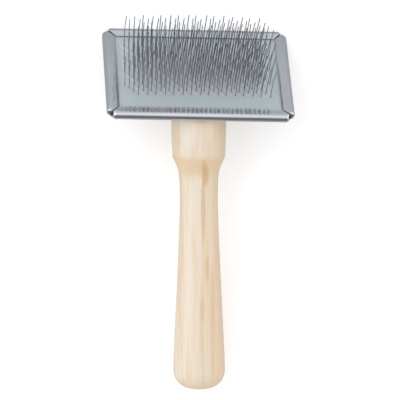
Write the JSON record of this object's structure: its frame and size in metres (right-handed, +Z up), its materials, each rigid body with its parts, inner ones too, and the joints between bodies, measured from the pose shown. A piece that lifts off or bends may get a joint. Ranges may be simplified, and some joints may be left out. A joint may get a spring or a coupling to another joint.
{
  "type": "slicker brush",
  "caption": "Pet-grooming slicker brush: bent-wire pins in a crowned rubber pad, held in a folded tinned-steel head pan on a turned wooden handle set at an angle.",
  "frame": {"origin": "centre of the bounding box at table level, with the brush lying on its back", "axes": "+X across the head, +Y from the grip towards the head, +Z up, the way the wires point"},
  "size_m": [0.105, 0.2108, 0.0635],
  "materials": {
    "turned_wood": "satin lacquer",
    "tinned_steel": "bright tinplate",
    "spring_wire": "drawn wire",
    "rubber_face": "matte",
    "foundation_cloth": "woven",
    "felt": "pressed felt",
    "screw_steel": "zinc plated"
  },
  "bodies": {
    "root": {"handle": "turned_wood", "head_pan": "tinned_steel", "pad_felt": "felt", "pad_cloth": "foundation_cloth", "pad_face": "rubber_face", "fixing_screws": "screw_steel", "staple_row_01": "spring_wire", "staple_row_02": "spring_wire", "staple_row_03": "spring_wire", "staple_row_04": "spring_wire", "staple_row_05": "spring_wire", "staple_row_06": "spring_wire", "staple_row_07": "spring_wire", "staple_row_08": "spring_wire", "staple_row_09": "spring_wire", "staple_row_10": "spring_wire", "staple_row_11": "spring_wire", "staple_row_12": "spring_wire", "staple_row_13": "spring_wire", "staple_row_14": "spring_wire", "staple_row_15": "spring_wire", "staple_row_16": "spring_wire"}
  },
  "joints": []
}
